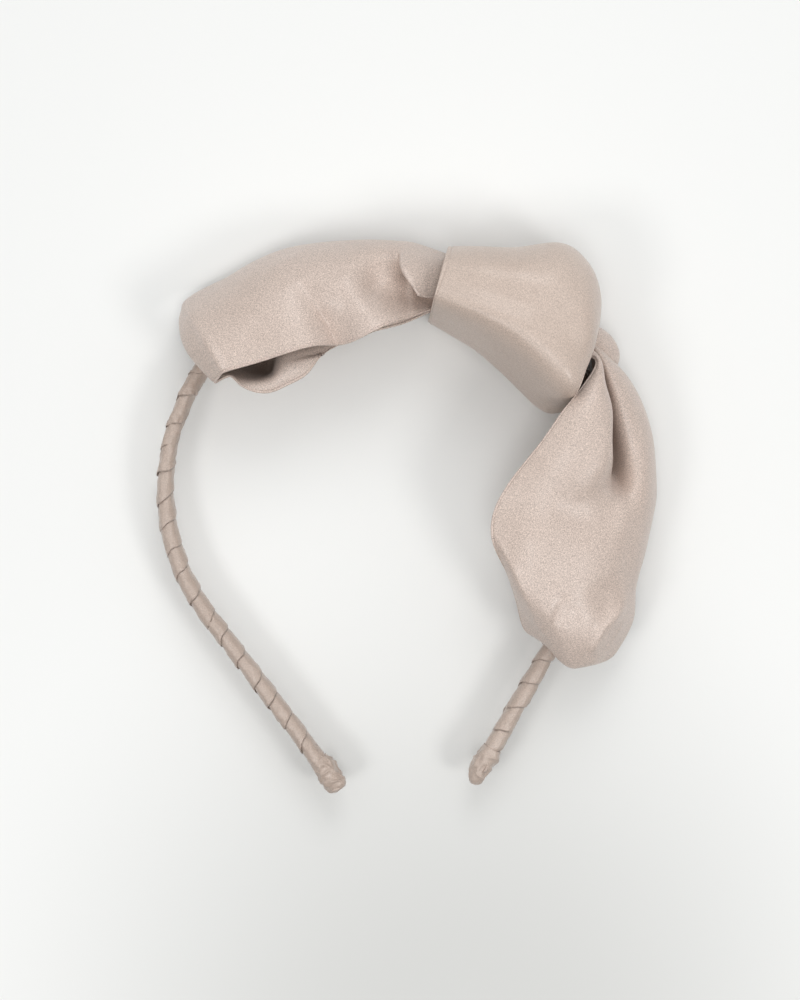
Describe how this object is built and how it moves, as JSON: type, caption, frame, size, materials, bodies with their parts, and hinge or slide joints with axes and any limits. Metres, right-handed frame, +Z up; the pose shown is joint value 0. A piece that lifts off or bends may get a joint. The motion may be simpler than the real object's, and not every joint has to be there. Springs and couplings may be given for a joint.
{
  "type": "knotted headband",
  "caption": "Slim springy hoop wound with satin ribbon, carrying an off-centre sash bow of two wide loops and a broad knot band.",
  "frame": {"origin": "centre of the head's circle, on the surface that the headband lies on", "axes": "+Y to the crown of the hoop, +X to the side with the knot, +Z up from the surface"},
  "size_m": [0.1412, 0.1558, 0.0421],
  "materials": {
    "satin": "blush satin, soft sheen",
    "ribbon": "blush satin ribbon, wound and creased",
    "core": "plain moulded",
    "thread": "sewing thread"
  },
  "bodies": {
    "crown": {"core_crown": "core", "wrap_crown": "ribbon", "left_loop_front": "satin", "left_loop_end": "satin", "left_loop_back": "satin", "knot_band": "satin", "knot_core": "satin", "knot_stitches": "thread", "left_tack": "thread"},
    "left_arm": {"core_left": "core", "wrap_left": "ribbon", "left_tip_fold": "ribbon"},
    "right_arm": {"core_right": "core", "wrap_right": "ribbon", "right_tip_fold": "ribbon", "right_loop_front": "satin", "right_loop_end": "satin", "right_loop_back": "satin", "right_tack": "thread"}
  },
  "joints": [
    {"name": "left_flex", "type": "hinge", "parent": "crown", "child": "left_arm", "pos_m": [-0.0558, 0.02967, 0.01], "axis": [0, 0, -1], "range_deg": [-7, 22], "stiffness_Nm_per_rad": 0.75},
    {"name": "right_flex", "type": "hinge", "parent": "crown", "child": "right_arm", "pos_m": [0.0558, 0.02967, 0.01], "axis": [0, 0, 1], "range_deg": [-7, 22], "stiffness_Nm_per_rad": 0.75}
  ]
}
